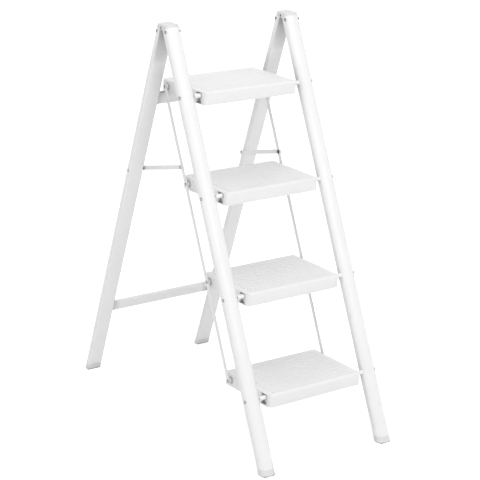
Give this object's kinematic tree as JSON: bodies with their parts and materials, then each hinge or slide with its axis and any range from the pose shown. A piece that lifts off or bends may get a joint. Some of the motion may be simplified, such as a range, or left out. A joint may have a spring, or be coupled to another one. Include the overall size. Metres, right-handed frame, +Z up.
{
  "type": "folding step stool",
  "caption": "Slim folding step stool: D-section legs hinged at the top, ribbed treads that fold up between them, link rods and stays down each side.",
  "frame": {"origin": "on the floor, at the middle of the open stool's footprint", "axes": "+Z up, -Y towards the user who climbs it, +X across the treads to the user's right"},
  "size_m": [0.437, 0.8891, 1.088],
  "materials": {
    "white_coated_steel": "satin powder coat",
    "white_plastic": "fine matte moulding",
    "fastener_steel": "plain zinc"
  },
  "bodies": {
    "front_frame": {"front_leg_left": "white_coated_steel", "front_leg_right": "white_coated_steel", "front_cap_left": "white_plastic", "front_cap_right": "white_plastic", "front_foot_left": "white_plastic", "front_foot_right": "white_plastic", "front_cap_rivets": "fastener_steel", "hinge_pins": "fastener_steel", "tread_pins": "fastener_steel", "tread_sleeves": "white_coated_steel"},
    "rear_frame": {"rear_leg_left": "white_coated_steel", "rear_leg_right": "white_coated_steel", "rear_cap_left": "white_plastic", "rear_cap_right": "white_plastic", "rear_foot_left": "white_plastic", "rear_foot_right": "white_plastic", "rear_cap_rivets": "fastener_steel", "upper_brace": "white_coated_steel", "lower_brace": "white_coated_steel", "stay_bolts": "fastener_steel", "stay_spacers": "fastener_steel"},
    "tread_1": {"tread_1": "white_plastic", "link_rivets_1": "fastener_steel"},
    "tread_2": {"tread_2": "white_plastic", "link_rivets_2": "fastener_steel"},
    "tread_3": {"tread_3": "white_plastic", "link_rivets_3": "fastener_steel"},
    "tread_4": {"tread_4": "white_plastic", "link_rivets_4": "fastener_steel"},
    "link_rod_left": {"link_rod_left": "white_coated_steel"},
    "link_rod_right": {"link_rod_right": "white_coated_steel"},
    "stay_left": {"stay_left": "white_coated_steel", "stay_rivet_left": "fastener_steel"},
    "stay_right": {"stay_right": "white_coated_steel", "stay_rivet_right": "fastener_steel"}
  },
  "joints": [
    {"name": "rear_fold", "type": "hinge", "parent": "front_frame", "child": "rear_frame", "pos_m": [0, 0.06487, 1.079], "axis": [-1, 0, 0], "range_deg": [0, 42]},
    {"name": "tread_1_fold", "type": "hinge", "parent": "front_frame", "child": "tread_1", "pos_m": [0, -0.02712, 0.9105], "axis": [1, 0, 0], "range_deg": [0, 63.7]},
    {"name": "tread_2_fold", "type": "hinge", "parent": "front_frame", "child": "tread_2", "pos_m": [0, -0.13575, 0.6665], "axis": [1, 0, 0], "range_deg": [0, 63.7]},
    {"name": "tread_3_fold", "type": "hinge", "parent": "front_frame", "child": "tread_3", "pos_m": [0, -0.24439, 0.4225], "axis": [1, 0, 0], "range_deg": [0, 63.7]},
    {"name": "tread_4_fold", "type": "hinge", "parent": "front_frame", "child": "tread_4", "pos_m": [0, -0.35302, 0.1785], "axis": [1, 0, 0], "range_deg": [0, 63.7]},
    {"name": "link_rod_left_swing", "type": "hinge", "parent": "tread_1", "child": "link_rod_left", "pos_m": [0, 0.12388, 0.905], "axis": [-1, 0, 0], "range_deg": [0, 63.7]},
    {"name": "link_rod_right_swing", "type": "hinge", "parent": "tread_1", "child": "link_rod_right", "pos_m": [0, 0.12388, 0.905], "axis": [-1, 0, 0], "range_deg": [0, 63.7]},
    {"name": "stay_left_swing", "type": "hinge", "parent": "rear_frame", "child": "stay_left", "pos_m": [0, 0.21357, 0.6595], "axis": [-1, 0, 0], "range_deg": [0, 53.4]},
    {"name": "stay_right_swing", "type": "hinge", "parent": "rear_frame", "child": "stay_right", "pos_m": [0, 0.21357, 0.6595], "axis": [-1, 0, 0], "range_deg": [0, 53.4]}
  ],
  "couplings": [
    {"joint": "tread_1_fold", "follows": "rear_fold", "ratio": 1.5131},
    {"joint": "tread_2_fold", "follows": "rear_fold", "ratio": 1.5131},
    {"joint": "tread_3_fold", "follows": "rear_fold", "ratio": 1.5131},
    {"joint": "tread_4_fold", "follows": "rear_fold", "ratio": 1.5131},
    {"joint": "link_rod_left_swing", "follows": "rear_fold", "ratio": 1.5131},
    {"joint": "link_rod_right_swing", "follows": "rear_fold", "ratio": 1.5131},
    {"joint": "stay_left_swing", "follows": "rear_fold", "ratio": 1.269},
    {"joint": "stay_right_swing", "follows": "rear_fold", "ratio": 1.269}
  ]
}
